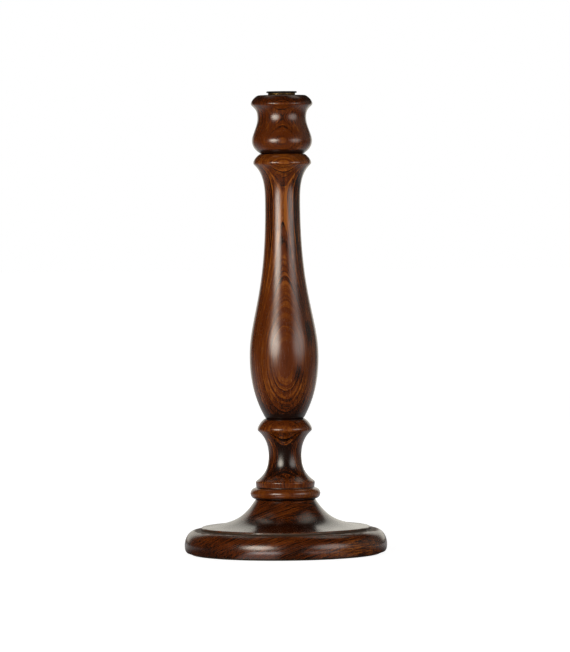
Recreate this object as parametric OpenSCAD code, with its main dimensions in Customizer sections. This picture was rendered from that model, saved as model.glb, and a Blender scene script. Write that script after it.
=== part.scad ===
// Table lamp base in dark stained timber: a round foot, a spool-shaped pedestal, a baluster and a head,
// turned separately, joined by round tenons and clamped on a hollow threaded tube that carries the flex.
// The lamp stands on z = 0 with its axis on z. The flex comes in at the back, which is +y.

/* [Foot] */
// Diameter of the foot at its widest
foot_d = 186.4; // [176:0.2:215]
// Height of the foot's timber, up to the neck under the pedestal
foot_h = 49; // [45:0.2:60]
// Height of the rounded rim
rim_h = 20.7; // [17:0.1:26]
// Height at which the rim is widest, above the underside
rim_widest_h = 6.7; // [3:0.1:9]
// How far the rim tucks in between its widest line and the underside
rim_tuck = 2.2; // [1:0.1:4]
// Flat ledge between the step and the rounding of the rim
rim_ledge = 4.8; // [1:0.1:6]
// Diameter of the raised step inside the rim
step_d = 155.4; // [140:0.2:164]
// Height of the step above the rim
step_h = 2.5; // [1:0.1:4]
// Diameter of the foot where the pedestal stands on it
foot_neck_d = 54.8; // [50:0.2:60]
// Diameter of the wiring recess in the underside
recess_d = 60; // [50:1:76]
// Depth of the wiring recess
recess_h = 16; // [14:0.5:18]

/* [Pedestal] */
// Diameter of the half-round bead on the foot
bead_d = 64.4; // [58:0.2:70]
// Height of the bead
bead_h = 10.2; // [8:0.2:14]
// Diameter of the fillet over the bead, at its upper edge
fillet_d = 54.8; // [50:0.2:57]
// Height of the fillet
fillet_h = 6; // [3:0.2:8]
// How far the fillet's side slopes in on its way down to the bead
fillet_slope = 0.8; // [0:0.1:2]
// Diameter of the spool at its waist
spool_waist_d = 30.2; // [26:0.1:36]
// Height from the fillet to the waist
spool_lower_h = 25.1; // [18:0.1:36]
// Height from the waist to the widest line of the ring
spool_upper_h = 22.6; // [18:0.2:34]
// Diameter of the ring at the top of the spool
spool_ring_d = 50.2; // [44:0.2:56]
// Height of the ring's shoulder
spool_shoulder_h = 10.2; // [7:0.2:14]
// Diameter at the top of the pedestal, in the groove under the baluster
pedestal_top_d = 34.8; // [30:0.2:38]

/* [Baluster] */
// Diameter of the baluster where it stands on the pedestal
baluster_foot_d = 35; // [30:0.2:40]
// Diameter of the belly
belly_d = 63.3; // [56:0.2:72]
// Height of the belly above the pedestal
belly_h = 56.7; // [46:0.1:70]
// Diameter of the neck at its slimmest
neck_d = 32.2; // [28:0.2:38]
// Height from the belly to the slimmest part of the neck
neck_h = 140; // [110:1:180]
// Height from there to the widest line of the ring
neck_flare_h = 37.8; // [28:0.2:50]
// Diameter of the ring at the top of the baluster
neck_ring_d = 53.4; // [46:0.2:60]
// Height of that ring's shoulder
neck_shoulder_h = 8.7; // [6:0.1:12]
// Diameter at the top of the baluster, in the groove under the head
baluster_top_d = 39.8; // [34:0.2:44]

/* [Head] */
// Diameter of the head where it stands on the baluster
head_foot_d = 39.8; // [34:0.2:44]
// Diameter of the head's belly
head_belly_d = 55.2; // [50:0.2:62]
// Height of the head's belly above the baluster
head_belly_h = 11.8; // [9:0.2:18]
// Diameter of the head's waist
head_waist_d = 44.6; // [40:0.2:50]
// Height from the head's belly to its waist
head_waist_h = 20.8; // [16:0.2:30]
// Diameter of the sharp rim near the top of the head
head_rim_d = 56.8; // [50:0.2:64]
// Height from the waist to the rim
head_rim_h = 12.9; // [9:0.1:18]
// Height of the rounded bevel above the rim
head_bevel_h = 8; // [6:0.2:12]
// Diameter of the flat top
head_top_d = 43.6; // [36:0.2:50]

/* [Joints in the timber] */
// Diameter of the tenon that holds the pedestal in the foot
pedestal_tenon_d = 24; // [20:0.5:30]
// Length of that tenon
pedestal_tenon_l = 20; // [14:0.5:24]
// Diameter of the tenon that holds the baluster in the pedestal
baluster_tenon_d = 18; // [16:0.5:22]
// Length of that tenon
baluster_tenon_l = 18; // [12:0.5:22]
// Diameter of the tenon that holds the head in the baluster
head_tenon_d = 20; // [17:0.5:22]
// Length of that tenon
head_tenon_l = 18; // [12:0.5:22]
// Gap between a tenon and its socket, all round
glue_gap = 0.1; // [0.05:0.05:0.2]
// Gap left under the end of a tenon
end_gap = 1; // [0.5:0.1:2]

/* [Tube and foot fixings] */
// Outer diameter of the hollow threaded tube
tube_d = 10; // [9:0.1:11]
// Diameter of the tube's bore, which the flex passes through
tube_bore_d = 7.8; // [6.5:0.1:8.2]
// Gap between the tube and the holes bored through the timber
tube_gap = 0.25; // [0.1:0.05:0.4]
// Gap between the tube and what is screwed or slipped on it
thread_gap = 0.05; // [0.02:0.01:0.1]
// How far the tube stands out below the foot nut
tube_tail = 2.5; // [1:0.1:4]
// Length of the nylon ferrule inside the tube's lower end, which keeps its edge off the flex
ferrule_l = 6; // [4:0.5:10]
// Wall of the ferrule
ferrule_wall = 0.7; // [0.5:0.1:0.9]
// Thickness of the ferrule's flange
ferrule_flange_t = 0.8; // [0.5:0.1:1.5]
// Diameter of the wide washer under the foot
foot_washer_d = 32; // [26:0.5:44]
// Thickness of that washer
foot_washer_t = 1.6; // [1:0.1:2.5]
// Diameter over the teeth of the lock washer
lock_washer_d = 18.4; // [16:0.2:22]
// Thickness of the lock washer
lock_washer_t = 1; // [0.6:0.1:1.5]
// Number of teeth of the lock washer
lock_washer_teeth = 12; // [8:1:16]
// Width of the foot nut over its flats
foot_nut_w = 17; // [15:0.5:19]
// Height of the foot nut
foot_nut_h = 5; // [4:0.2:6]

/* [Head fixings] */
// Diameter of the counterbore in the top of the head
counterbore_d = 19; // [18:0.2:22]
// Depth of the counterbore
counterbore_h = 15; // [14:0.2:20]
// Diameter of the washer in the counterbore
head_washer_d = 17.6; // [15:0.2:17.8]
// Thickness of that washer
head_washer_t = 1.4; // [1:0.1:2]
// Width of the head nut over its flats
head_nut_w = 14; // [13:0.2:15]
// Height of the head nut
head_nut_h = 4; // [3:0.2:5]
// Diameter of the brass collar on the head
collar_d = 25; // [23.4:0.2:30]
// Height of the brass collar
collar_h = 2; // [1.6:0.1:4]
// Diameter of the dark plate that a lampholder is screwed down on
plate_d = 28; // [25:0.2:34]
// Thickness of the plate
plate_t = 1.5; // [1.2:0.1:2.5]
// Diameter of the hub below the plate
hub_d = 14.6; // [13.6:0.2:16]
// Length of the hub below the plate
hub_h = 9.6; // [8.4:0.2:10]
// Diameter of the tapped hole left free for the lampholder's nipple, at the crests of its thread
tapped_d = 9; // [8.4:0.1:9.4]
// How much of that hole's length is left free above the tube, the plate's thickness included
tapped_l = 6.2; // [5:0.2:7]
// Diameter of the countersink at the hole's mouth
tapped_mouth_d = 10.4; // [9.8:0.2:11.4]
// Gap between the hub and the collar around it
hub_gap = 0.1; // [0.05:0.05:0.3]

/* [Flex entry and felt] */
// Diameter of the hole drilled through the back of the foot
entry_d = 9; // [8.4:0.1:10]
// Height of that hole above the foot's underside
entry_h = 8; // [7:0.2:9]
// Diameter of the bush's own bore, for a round flex
bush_bore_d = 7; // [6:0.1:7.4]
// Length of the bush inside the hole
bush_l = 14; // [8:0.5:24]
// Length of the bush's tapered nose
bush_nose_l = 2; // [1:0.5:4]
// Diameter of the bush's flange
bush_flange_d = 12.4; // [11.8:0.2:14]
// Thickness of the bush's flange
bush_flange_t = 1.2; // [0.8:0.1:2]
// Gap between the bush and its hole
bush_gap = 0.05; // [0.02:0.01:0.1]
// Thickness of the felt under the foot
felt_t = 1.5; // [1:0.1:3]
// How far the felt stays inside the edge of the underside
felt_margin = 4; // [2:0.5:10]

/* [Hidden] */

// Heights at which the pieces meet
underside_z = felt_t;
foot_top_z = underside_z + foot_h;
bead_top_z = foot_top_z + bead_h;
fillet_top_z = bead_top_z + fillet_h;
spool_waist_z = fillet_top_z + spool_lower_h;
spool_ring_z = spool_waist_z + spool_upper_h;
pedestal_top_z = spool_ring_z + spool_shoulder_h;
belly_z = pedestal_top_z + belly_h;
neck_z = belly_z + neck_h;
neck_ring_z = neck_z + neck_flare_h;
baluster_top_z = neck_ring_z + neck_shoulder_h;
head_belly_z = baluster_top_z + head_belly_h;
head_waist_z = head_belly_z + head_waist_h;
head_rim_z = head_waist_z + head_rim_h;
head_top_z = head_rim_z + head_bevel_h;
collar_top_z = head_top_z + collar_h;
plate_top_z = collar_top_z + plate_t;

// Heights of the fixings: the foot stack hangs from the recess's ceiling, and the head stack stands on
// the counterbore's floor
recess_top_z = underside_z + recess_h;
foot_washer_z = recess_top_z - foot_washer_t;
lock_washer_z = foot_washer_z - lock_washer_t;
foot_nut_z = lock_washer_z - foot_nut_h;
tube_low_z = foot_nut_z - tube_tail;
tube_high_z = plate_top_z - tapped_l;
counterbore_z = head_top_z - counterbore_h;
head_nut_z = counterbore_z + head_washer_t;
hub_z = collar_top_z - hub_h;
entry_z = underside_z + entry_h;

// Radii that more than one piece uses
step_r = step_d / 2;
underside_r = foot_d / 2 - rim_tuck;
hub_r = hub_d / 2;
thread_r = tube_d / 2 + thread_gap;

// Depth to which the back of the foot is spot-faced, so that the whole flange of the bush lies flat
spot_r = bush_flange_d / 2 + 0.2;
spot_y = rim_radius_at(entry_h + spot_r) - 0.3;

// Softened edges: how high and how deep the curve over a ring's sharp line is, and the small chamfers
arris_h = 1.2;
arris_in = 0.45;
edge_break = 0.4;
shallow_break = 0.3;
// Share of a nut's width that its flat face takes, inside the turned-off corners
nut_face = 0.95;

// Length of one straight facet of a turned outline, and the facets of a full turn
outline_step = 2.5;
turn_fn = 120;
small_fn = 64;
// Overshoot of a cutting tool past the face it opens
clear = 1;

timber = [0.30, 0.15, 0.07];
foot_timber = [0.34, 0.16, 0.07];
steel = [0.62, 0.62, 0.60];
brass = [0.66, 0.52, 0.26];
bronze_black = [0.06, 0.055, 0.05];
black_nylon = [0.05, 0.05, 0.05];
white_nylon = [0.85, 0.84, 0.80];
felt_brown = [0.20, 0.13, 0.08];

// Turned outlines. A point is [radius, height]. A lean is the angle, in degrees, by which the outline
// tips outwards on its way up: 0 is upright, and 90 is level and going out.
function along(lean) = [sin(lean), cos(lean)];

// A smooth run from a to b, without a itself. Each end holds its own lean for a share of the distance.
function run(a, lean_a, b, lean_b, hold_a = 0.35, hold_b = 0.35) =
    let (
        far = norm(b - a),
        p = a + hold_a * far * along(lean_a),
        q = b - hold_b * far * along(lean_b),
        n = max(5, ceil(far / outline_step))
    )
    [for (i = [1 : n]) let (t = i / n, u = 1 - t) u^3 * a + 3 * u^2 * t * p + 3 * u * t^2 * q + t^3 * b];

// An arc round a centre, with its own half-width and half-height, from one angle to another
function arc(centre, half, from, to) =
    let (n = max(6, ceil(max(half) * abs(to - from) * PI / 180 / outline_step * 2)))
    [for (i = [0 : n]) let (a = from + (to - from) * i / n) centre + [half.x * cos(a), half.y * sin(a)]];

// The sharp line of a ring, eased: from the cove below it to its widest point
function arris(r, z, lean) = run([r - arris_in, z - arris_h], lean, [r, z], 0);

// Radius of the foot's rim at a height above its underside
function rim_radius_at(h) =
    let (inner = step_r + rim_ledge, s = (h - rim_widest_h) / (rim_h - rim_widest_h))
    inner + (foot_d / 2 - inner) * sqrt(1 - s^2);

// A tenon under a shoulder, with a small chamfer at its end
function tenon(d, l, shoulder_z) =
    [[d / 2 - edge_break, shoulder_z - l], [d / 2, shoulder_z - l + edge_break], [d / 2, shoulder_z]];

foot_outline = concat(
    [[underside_r, underside_z]],
    run([underside_r, underside_z], 55, [foot_d / 2, underside_z + rim_widest_h], 0),
    arc(
        [step_r + rim_ledge, underside_z + rim_widest_h],
        [foot_d / 2 - step_r - rim_ledge, rim_h - rim_widest_h], 3, 90
    ),
    [
        [step_r, underside_z + rim_h],
        [step_r, underside_z + rim_h + step_h - shallow_break],
        [step_r - shallow_break, underside_z + rim_h + step_h]
    ],
    run(
        [step_r - shallow_break, underside_z + rim_h + step_h], -85,
        [foot_neck_d / 2, foot_top_z - shallow_break], -32, 0.48, 0.4
    ),
    [[foot_neck_d / 2 - shallow_break, foot_top_z]]
);

pedestal_outline = concat(
    tenon(pedestal_tenon_d, pedestal_tenon_l, foot_top_z),
    arc([bead_d / 2 - bead_h / 2, foot_top_z + bead_h / 2], [bead_h / 2, bead_h / 2], -90, 90),
    [
        [fillet_d / 2 - fillet_slope, bead_top_z],
        [fillet_d / 2, fillet_top_z - edge_break],
        [fillet_d / 2 - shallow_break, fillet_top_z]
    ],
    run([fillet_d / 2 - shallow_break, fillet_top_z], -56, [spool_waist_d / 2, spool_waist_z], 0, 0.43, 0.39),
    run(
        [spool_waist_d / 2, spool_waist_z], 0,
        [spool_ring_d / 2 - arris_in, spool_ring_z - arris_h], 51
    ),
    arris(spool_ring_d / 2, spool_ring_z, 51),
    run([spool_ring_d / 2, spool_ring_z], 0, [pedestal_top_d / 2, pedestal_top_z], -69, 0.18)
);

baluster_outline = concat(
    tenon(baluster_tenon_d, baluster_tenon_l, pedestal_top_z),
    [[baluster_foot_d / 2, pedestal_top_z]],
    run([baluster_foot_d / 2, pedestal_top_z], 30, [belly_d / 2, belly_z], 0),
    run([belly_d / 2, belly_z], 0, [neck_d / 2, neck_z], 0, 0.255, 0.6),
    run([neck_d / 2, neck_z], 0, [neck_ring_d / 2 - arris_in, neck_ring_z - arris_h], 49),
    arris(neck_ring_d / 2, neck_ring_z, 49),
    run([neck_ring_d / 2, neck_ring_z], 0, [baluster_top_d / 2, baluster_top_z], -62, 0.24)
);

head_outline = concat(
    tenon(head_tenon_d, head_tenon_l, baluster_top_z),
    [[head_foot_d / 2, baluster_top_z]],
    run([head_foot_d / 2, baluster_top_z], 56, [head_belly_d / 2, head_belly_z], 0, 0.39, 0.4),
    run([head_belly_d / 2, head_belly_z], 0, [head_waist_d / 2, head_waist_z], 0, 0.26),
    run(
        [head_waist_d / 2, head_waist_z], 0,
        [head_rim_d / 2 - arris_in, head_rim_z - arris_h], 50, 0.45, 0.45
    ),
    arris(head_rim_d / 2, head_rim_z, 50),
    run([head_rim_d / 2, head_rim_z], -11, [head_top_d / 2, head_top_z], -61)
);

// A solid turned from an outline, which is closed along the axis
module turned(outline) {
    low = outline[0];
    high = outline[len(outline) - 1];
    rotate_extrude($fn = turn_fn) polygon(concat([[0, low.y]], outline, [[0, high.y]]));
}

// A round hole on the axis between two heights
module axial_hole(d, low, high) {
    translate([0, 0, low]) cylinder(h = high - low, d = d, $fn = small_fn);
}

// A round rod along the flex entry, from near the axis to farther back
module entry_rod(d, near_y, far_y) {
    translate([0, near_y, entry_z]) rotate([-90, 0, 0]) cylinder(h = far_y - near_y, d = d, $fn = small_fn);
}

// The hole that the tube passes through, open at both ends of a piece
module tube_hole(low, high) {
    axial_hole(tube_d + 2 * tube_gap, low - clear, high + clear);
}

// The socket that such a tenon is glued into
module socket(d, l, shoulder_z) {
    axial_hole(d + 2 * glue_gap, shoulder_z - l - end_gap, shoulder_z + clear);
}

// A flat ring on the axis with broken outer edges
module washer(d, bore, t, z) {
    translate([0, 0, z]) difference() {
        rotate_extrude($fn = small_fn) polygon([
            [0, 0], [d / 2 - shallow_break, 0], [d / 2, shallow_break],
            [d / 2, t - shallow_break], [d / 2 - shallow_break, t], [0, t]
        ]);
        axial_hole(bore, -clear, t + clear);
    }
}

// A hexagon nut with its corners turned off on both faces
module hex_nut(w, h, z) {
    corner_r = w / 2 / cos(30);
    face_r = w / 2 * nut_face;
    cone_r = corner_r + clear;
    cone_h = (cone_r - face_r) * tan(30);
    translate([0, 0, z]) difference() {
        intersection() {
            cylinder(h = h, r = corner_r, $fn = 6);
            rotate_extrude($fn = small_fn) polygon([
                [0, 0], [face_r, 0], [cone_r, cone_h], [cone_r, h - cone_h], [face_r, h], [0, h]
            ]);
        }
        axial_hole(2 * thread_r, -clear, h + clear);
    }
}

module foot() {
    color(foot_timber) difference() {
        turned(foot_outline);
        tube_hole(underside_z, foot_top_z);
        socket(pedestal_tenon_d, pedestal_tenon_l, foot_top_z);
        axial_hole(recess_d, underside_z - clear, recess_top_z);
        entry_rod(entry_d, recess_d / 4, foot_d / 2);
        entry_rod(2 * spot_r, spot_y, foot_d / 2);
    }
}

module pedestal() {
    color(timber) difference() {
        turned(pedestal_outline);
        tube_hole(foot_top_z - pedestal_tenon_l, pedestal_top_z);
        socket(baluster_tenon_d, baluster_tenon_l, pedestal_top_z);
    }
}

module baluster() {
    color(timber) difference() {
        turned(baluster_outline);
        tube_hole(pedestal_top_z - baluster_tenon_l, baluster_top_z);
        socket(head_tenon_d, head_tenon_l, baluster_top_z);
    }
}

module head() {
    color(timber) difference() {
        turned(head_outline);
        tube_hole(baluster_top_z - head_tenon_l, head_top_z);
        axial_hole(counterbore_d, counterbore_z, head_top_z + clear);
    }
}

module threaded_tube() {
    outer_r = tube_d / 2;
    bore_r = tube_bore_d / 2;
    color(steel) rotate_extrude($fn = small_fn) polygon([
        [bore_r, tube_low_z], [outer_r - edge_break, tube_low_z], [outer_r, tube_low_z + edge_break],
        [outer_r, tube_high_z - edge_break], [outer_r - edge_break, tube_high_z], [bore_r, tube_high_z]
    ]);
}

module tube_ferrule() {
    bore_r = tube_bore_d / 2;
    color(white_nylon) translate([0, 0, tube_low_z]) difference() {
        union() {
            cylinder(h = ferrule_l, r = bore_r - thread_gap, $fn = small_fn);
            translate([0, 0, -ferrule_flange_t])
                cylinder(h = ferrule_flange_t, d = tube_d - edge_break, $fn = small_fn);
        }
        axial_hole(tube_bore_d - 2 * ferrule_wall, -ferrule_flange_t - clear, ferrule_l + clear);
    }
}

module foot_washer() {
    color(steel) washer(foot_washer_d, tube_d + 2 * tube_gap, foot_washer_t, foot_washer_z);
}

// The teeth stand out of a plain ring and are as wide as the gaps between them
module foot_lock_washer() {
    ring_r = (thread_r + lock_washer_d / 2) / 2;
    tooth_w = PI * ring_r / lock_washer_teeth;
    color(steel) translate([0, 0, lock_washer_z]) difference() {
        union() {
            cylinder(h = lock_washer_t, r = ring_r, $fn = small_fn);
            for (i = [0 : lock_washer_teeth - 1])
                rotate([0, 0, i * 360 / lock_washer_teeth]) translate([ring_r - edge_break, -tooth_w / 2, 0])
                    cube([lock_washer_d / 2 - ring_r + edge_break, tooth_w, lock_washer_t]);
        }
        axial_hole(tube_d + 2 * tube_gap, -clear, lock_washer_t + clear);
    }
}

module foot_nut() {
    color(steel) hex_nut(foot_nut_w, foot_nut_h, foot_nut_z);
}

module head_washer() {
    color(steel) washer(head_washer_d, tube_d + 2 * tube_gap, head_washer_t, counterbore_z);
}

module head_nut() {
    color(steel) hex_nut(head_nut_w, head_nut_h, head_nut_z);
}

module brass_collar() {
    color(brass) washer(collar_d, hub_d + 2 * hub_gap, collar_h, head_top_z);
}

// The plate and its hub are one turned piece, tapped right through. The thread is drawn at its roots
// where the tube fills it, and at its crests in the free part above.
module seat_plate() {
    plate_r = plate_d / 2;
    mouth_h = (tapped_mouth_d - tapped_d) / 2;
    color(bronze_black) difference() {
        rotate_extrude($fn = small_fn) polygon([
            [0, hub_z], [hub_r - edge_break, hub_z], [hub_r, hub_z + edge_break], [hub_r, collar_top_z],
            [plate_r - shallow_break, collar_top_z], [plate_r, collar_top_z + shallow_break],
            [plate_r, plate_top_z - edge_break], [plate_r - edge_break, plate_top_z], [0, plate_top_z]
        ]);
        axial_hole(2 * thread_r, hub_z - clear, tube_high_z);
        axial_hole(tapped_d, hub_z, plate_top_z + clear);
        translate([0, 0, plate_top_z - mouth_h])
            cylinder(h = 2 * mouth_h, d1 = tapped_d, d2 = tapped_d + 4 * mouth_h, $fn = small_fn);
    }
}

// The bush lies along +y, with its flange flat in the spot-face. Its nose tapers so that it starts easily.
module flex_bush() {
    bore_r = bush_bore_d / 2;
    body_r = entry_d / 2 - bush_gap;
    flange_r = bush_flange_d / 2;
    mouth_y = bush_l + bush_flange_t;
    color(black_nylon) translate([0, spot_y - bush_l, entry_z]) rotate([-90, 0, 0])
        rotate_extrude($fn = small_fn) polygon([
            [bore_r, 0], [body_r - shallow_break, 0], [body_r, bush_nose_l], [body_r, bush_l],
            [flange_r, bush_l], [flange_r, mouth_y - edge_break], [flange_r - edge_break, mouth_y],
            [bore_r + edge_break, mouth_y], [bore_r, mouth_y - edge_break]
        ]);
}

module felt_pad() {
    color(felt_brown) cylinder(h = felt_t, r = underside_r - felt_margin, $fn = turn_fn);
}

foot();
pedestal();
baluster();
head();
threaded_tube();
tube_ferrule();
foot_washer();
foot_lock_washer();
foot_nut();
head_washer();
head_nut();
brass_collar();
seat_plate();
flex_bush();
felt_pad();
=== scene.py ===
"""Dresses a turned timber table lamp base: stained and lacquered timber, aged brass, blackened steel, zinc,
nylon and felt, on a pale floor in soft studio light. Lengths are in metres, and in the materials in mm."""

import math

import bmesh
import bpy
from bpy.props import FloatProperty, FloatVectorProperty, IntProperty, PointerProperty
from mathutils import Matrix, Vector


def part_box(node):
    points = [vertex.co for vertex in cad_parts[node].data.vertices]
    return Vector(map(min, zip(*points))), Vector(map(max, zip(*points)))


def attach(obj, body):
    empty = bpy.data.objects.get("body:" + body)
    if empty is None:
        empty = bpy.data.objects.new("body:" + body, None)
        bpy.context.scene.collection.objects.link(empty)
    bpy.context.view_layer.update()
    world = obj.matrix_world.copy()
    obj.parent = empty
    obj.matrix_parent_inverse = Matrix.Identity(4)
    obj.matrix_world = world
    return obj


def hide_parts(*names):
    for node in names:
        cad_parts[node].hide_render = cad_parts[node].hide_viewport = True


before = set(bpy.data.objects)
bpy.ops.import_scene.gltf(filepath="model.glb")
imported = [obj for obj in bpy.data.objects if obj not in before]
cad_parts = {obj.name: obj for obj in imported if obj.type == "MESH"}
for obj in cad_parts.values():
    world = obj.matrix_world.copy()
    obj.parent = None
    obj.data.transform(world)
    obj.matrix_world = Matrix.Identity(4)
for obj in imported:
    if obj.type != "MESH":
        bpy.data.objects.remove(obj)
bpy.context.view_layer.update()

bl_info = {
    "name": "Turned Lamp Base",
    "version": (1, 0, 0),
    "blender": (4, 5, 0),
    "location": "3D View > Sidebar > Lamp",
    "description": "Builds the looks of a turned timber table lamp base",
    "category": "Object",
}

MM = 0.001
BODY = "root"
PICTURE_HEIGHT = 652
LENGTH = {"subtype": "DISTANCE", "unit": "LENGTH"}
COLOUR = {"size": 3, "min": 0, "max": 1, "subtype": "COLOR"}

# Pieces on whose tops the next piece stands, with how far the painted shade and grime at each joint reach
# below and above it
SEAMS = {"foot": (1.0 * MM, 3.0 * MM), "pedestal": (2.0 * MM, 6.0 * MM), "baluster": (0.6 * MM, 5.0 * MM)}

# The half-plane that the CAD's outlines are read on, which keeps clear of the flex's channel, in degrees
CUT_BEARING = 200.0
# Points closer than this are one point
SAME_POINT = 1e-6
# Where an outline bends by more than this, in degrees, it has a corner
SHARP_CORNER = 30.0
# A point of the cut this near to a ring of the CAD's points is taken as that ring's
RING_REACH = 0.3 * MM
# Spacing of an outline's points before the spare ones are dropped, and the longest gap left then
OUTLINE_STEP = 0.25 * MM
LONGEST_FACET = 6 * MM
# A stretch of the CAD's outline longer than this is straight
STRAIGHT_RUN = 4 * MM
# How many points to each side tell how convex an outline is
EDGE_REACH = 4
# Faces that meet at more than this keep a crisp edge between them
CRISP_EDGE = math.radians(42)
# The M10 thread in the seat plate: its bore, and the ridge's root, crest, pitch, turns and gap above the tube
THREAD_BORE, THREAD_ROOT, THREAD_CREST, THREAD_PITCH = 5.0 * MM, 5.03 * MM, 4.5 * MM, 1.0 * MM
THREAD_TURNS, THREAD_GAP = 5.0, 0.4 * MM
# Along y: a place inside the foot's channel for the flex, and one well outside the foot
IN_CHANNEL, OUTSIDE = 15 * MM, 110 * MM
# Room round the flex bush's body and flange
BODY_ROOM, FLANGE_ROOM = 0.05 * MM, 0.2 * MM
# The felt's rounded edge, and how many times as many steps around it has as a slender piece
FELT_EDGE, FELT_FINENESS = 0.35 * MM, 1.6
# How far the floor reaches to each side, and how far below the felt it lies, so that the two don't flicker
FLOOR_REACH, FLOOR_DROP = 14, 0.1 * MM


# Settings

class LampTurningSettings(bpy.types.PropertyGroup):
    """How finely the turned pieces are made."""
    steps_around: IntProperty(
        name="Steps Around", description="Facets in one full turn of a slender piece, and half the foot's",
        default=160, min=32, max=256)
    edge_softness: FloatProperty(
        name="Edge Softness", description="How far the lacquer rounds a sharp line", default=0.42 * MM, min=0,
        **LENGTH)
    outline_error: FloatProperty(
        name="Outline Error", description="How far a facet may stray from the smooth outline",
        default=0.004 * MM, min=0.0005 * MM, **LENGTH)


class LampFinishSettings(bpy.types.PropertyGroup):
    """Colours of the stain, the dust, the metals and the felt."""
    stain_dark: FloatVectorProperty(
        name="Stain in Pores", description="Colour of the timber where it drinks most stain",
        default=(0.0105, 0.0024, 0.0007), **COLOUR)
    stain_mid: FloatVectorProperty(
        name="Stained Timber", description="Main colour of the stained timber",
        default=(0.100, 0.0198, 0.0018), **COLOUR)
    stain_light: FloatVectorProperty(
        name="Pale Layers", description="Colour of the timber's hard layers, which take little stain",
        default=(0.290, 0.085, 0.0090), **COLOUR)
    dust: FloatVectorProperty(
        name="Dust", description="Old wax and dust in the foot's groove",
        default=(0.070, 0.045, 0.022), **COLOUR)
    brass: FloatVectorProperty(
        name="Brass", description="Colour of the collar's brass where it is clean",
        default=(0.20, 0.125, 0.045), **COLOUR)
    tarnish: FloatVectorProperty(
        name="Tarnish", description="Colour of the collar's brass where it has darkened",
        default=(0.085, 0.048, 0.018), **COLOUR)
    black_steel: FloatVectorProperty(
        name="Blackened Steel", description="Colour of the seat plate",
        default=(0.030, 0.026, 0.023), **COLOUR)
    zinc: FloatVectorProperty(
        name="Zinc", description="Colour of the tube, the nuts and the washers",
        default=(0.58, 0.59, 0.60), **COLOUR)
    felt: FloatVectorProperty(
        name="Felt", description="Colour of the felt under the foot", default=(0.060, 0.034, 0.020), **COLOUR)


class LampStageSettings(bpy.types.PropertyGroup):
    """The camera and the studio."""
    camera_distance: FloatProperty(
        name="Camera Distance", description="From the camera to the lamp's axis, along the floor",
        default=4.3, min=1, **LENGTH)
    camera_height: FloatProperty(
        name="Camera Height", description="Height of the camera above the floor", default=0.34, **LENGTH)
    aim: FloatVectorProperty(
        name="Aim", description="Point at the middle of the picture", default=(0.0011, 0, 0.2093), size=3,
        subtype="TRANSLATION", unit="LENGTH")
    roll: FloatProperty(
        name="Roll", description="How far the camera leans to its right", default=math.radians(0.56),
        subtype="ANGLE", unit="ROTATION")
    focal_px: FloatProperty(
        name="Focal Length", description="Focal length, in pixels of a picture 652 high",
        default=4680, min=500)
    key_power: FloatProperty(
        name="Key Light", description="Power of the soft box on the left",
        default=30.0, min=0, unit="POWER")
    fill_power: FloatProperty(
        name="Fill Light", description="Power of the soft box on the right",
        default=11.0, min=0, unit="POWER")
    front_power: FloatProperty(
        name="Front Light", description="Power of the matt light from the front",
        default=7.0, min=0, unit="POWER")
    back_power: FloatProperty(
        name="Back Light", description="Power of the matt light from behind",
        default=13.0, min=0, unit="POWER")
    ambient: FloatProperty(
        name="Room Light", description="Strength of the light from all round",
        default=0.05, min=0, subtype="FACTOR")


# Helpers for node trees

class Value:
    """An output in a node tree. Sums written with it become Math nodes in the same tree."""

    def __init__(self, socket):
        self.socket, self.tree = socket, socket.id_data

    def __add__(self, other):
        return calc("ADD", self, other)

    def __radd__(self, other):
        return calc("ADD", other, self)

    def __sub__(self, other):
        return calc("SUBTRACT", self, other)

    def __rsub__(self, other):
        return calc("SUBTRACT", other, self)

    def __mul__(self, other):
        return calc("MULTIPLY", self, other)

    def __truediv__(self, other):
        return calc("DIVIDE", self, other)

    def __pow__(self, other):
        return calc("POWER", self, other)


def fill(node, inputs):
    """Fills a node's inputs, by name or number, with plain values or with links from Values."""
    for key, value in inputs.items():
        if isinstance(value, Value):
            node.id_data.links.new(value.socket, node.inputs[key])
        else:
            node.inputs[key].default_value = value


def add_node(tree, kind, inputs=None, **settings):
    """Adds a node with its settings and its inputs."""
    node = tree.nodes.new(kind)
    for key, value in settings.items():
        setattr(node, key, value)
    fill(node, inputs or {})
    return node


def output(tree, kind, inputs=None, result=0, **settings):
    """One output of a new node, by name or number."""
    return Value(add_node(tree, kind, inputs, **settings).outputs[result])


def calc(operation, *values, clamp=False):
    """The result of a Math node."""
    tree = next(value.tree for value in values if isinstance(value, Value))
    return output(tree, "ShaderNodeMath", dict(enumerate(values)), operation=operation, use_clamp=clamp)


def vector_calc(operation, vector, *others, result="Vector"):
    """The result of a Vector Math node: a vector, or the number that it calls Value."""
    return output(vector.tree, "ShaderNodeVectorMath", dict(enumerate((vector, *others))), result,
                  operation=operation)


def scaled(vector, x, y, z):
    """A vector with each axis multiplied by its own number."""
    return vector_calc("MULTIPLY", vector, (x, y, z))


def length(vector):
    """How long a vector is."""
    return vector_calc("LENGTH", vector, result="Value")


def axes_of(vector):
    """The x, y and z of a vector."""
    return [Value(socket) for socket in add_node(vector.tree, "ShaderNodeSeparateXYZ", {0: vector}).outputs]


def vector_of(x, y, z):
    """A vector from its x, y and z, of which x isn't a plain number."""
    return output(x.tree, "ShaderNodeCombineXYZ", {0: x, 1: y, 2: z})


def noise(vector, pace, detail, roughness, seed=0.0, distortion=0.0):
    """A noise texture's value, from 0 to 1. pace is how fast it changes, as a number or as one for each axis,
    and the seed moves it to another place."""
    if isinstance(pace, tuple):
        vector, pace = scaled(vector, *pace), 1.0
    return output(vector.tree, "ShaderNodeTexNoise", {
        "Vector": vector, "W": seed, "Scale": pace, "Detail": detail, "Roughness": roughness,
        "Distortion": distortion}, noise_dimensions="4D")


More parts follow.
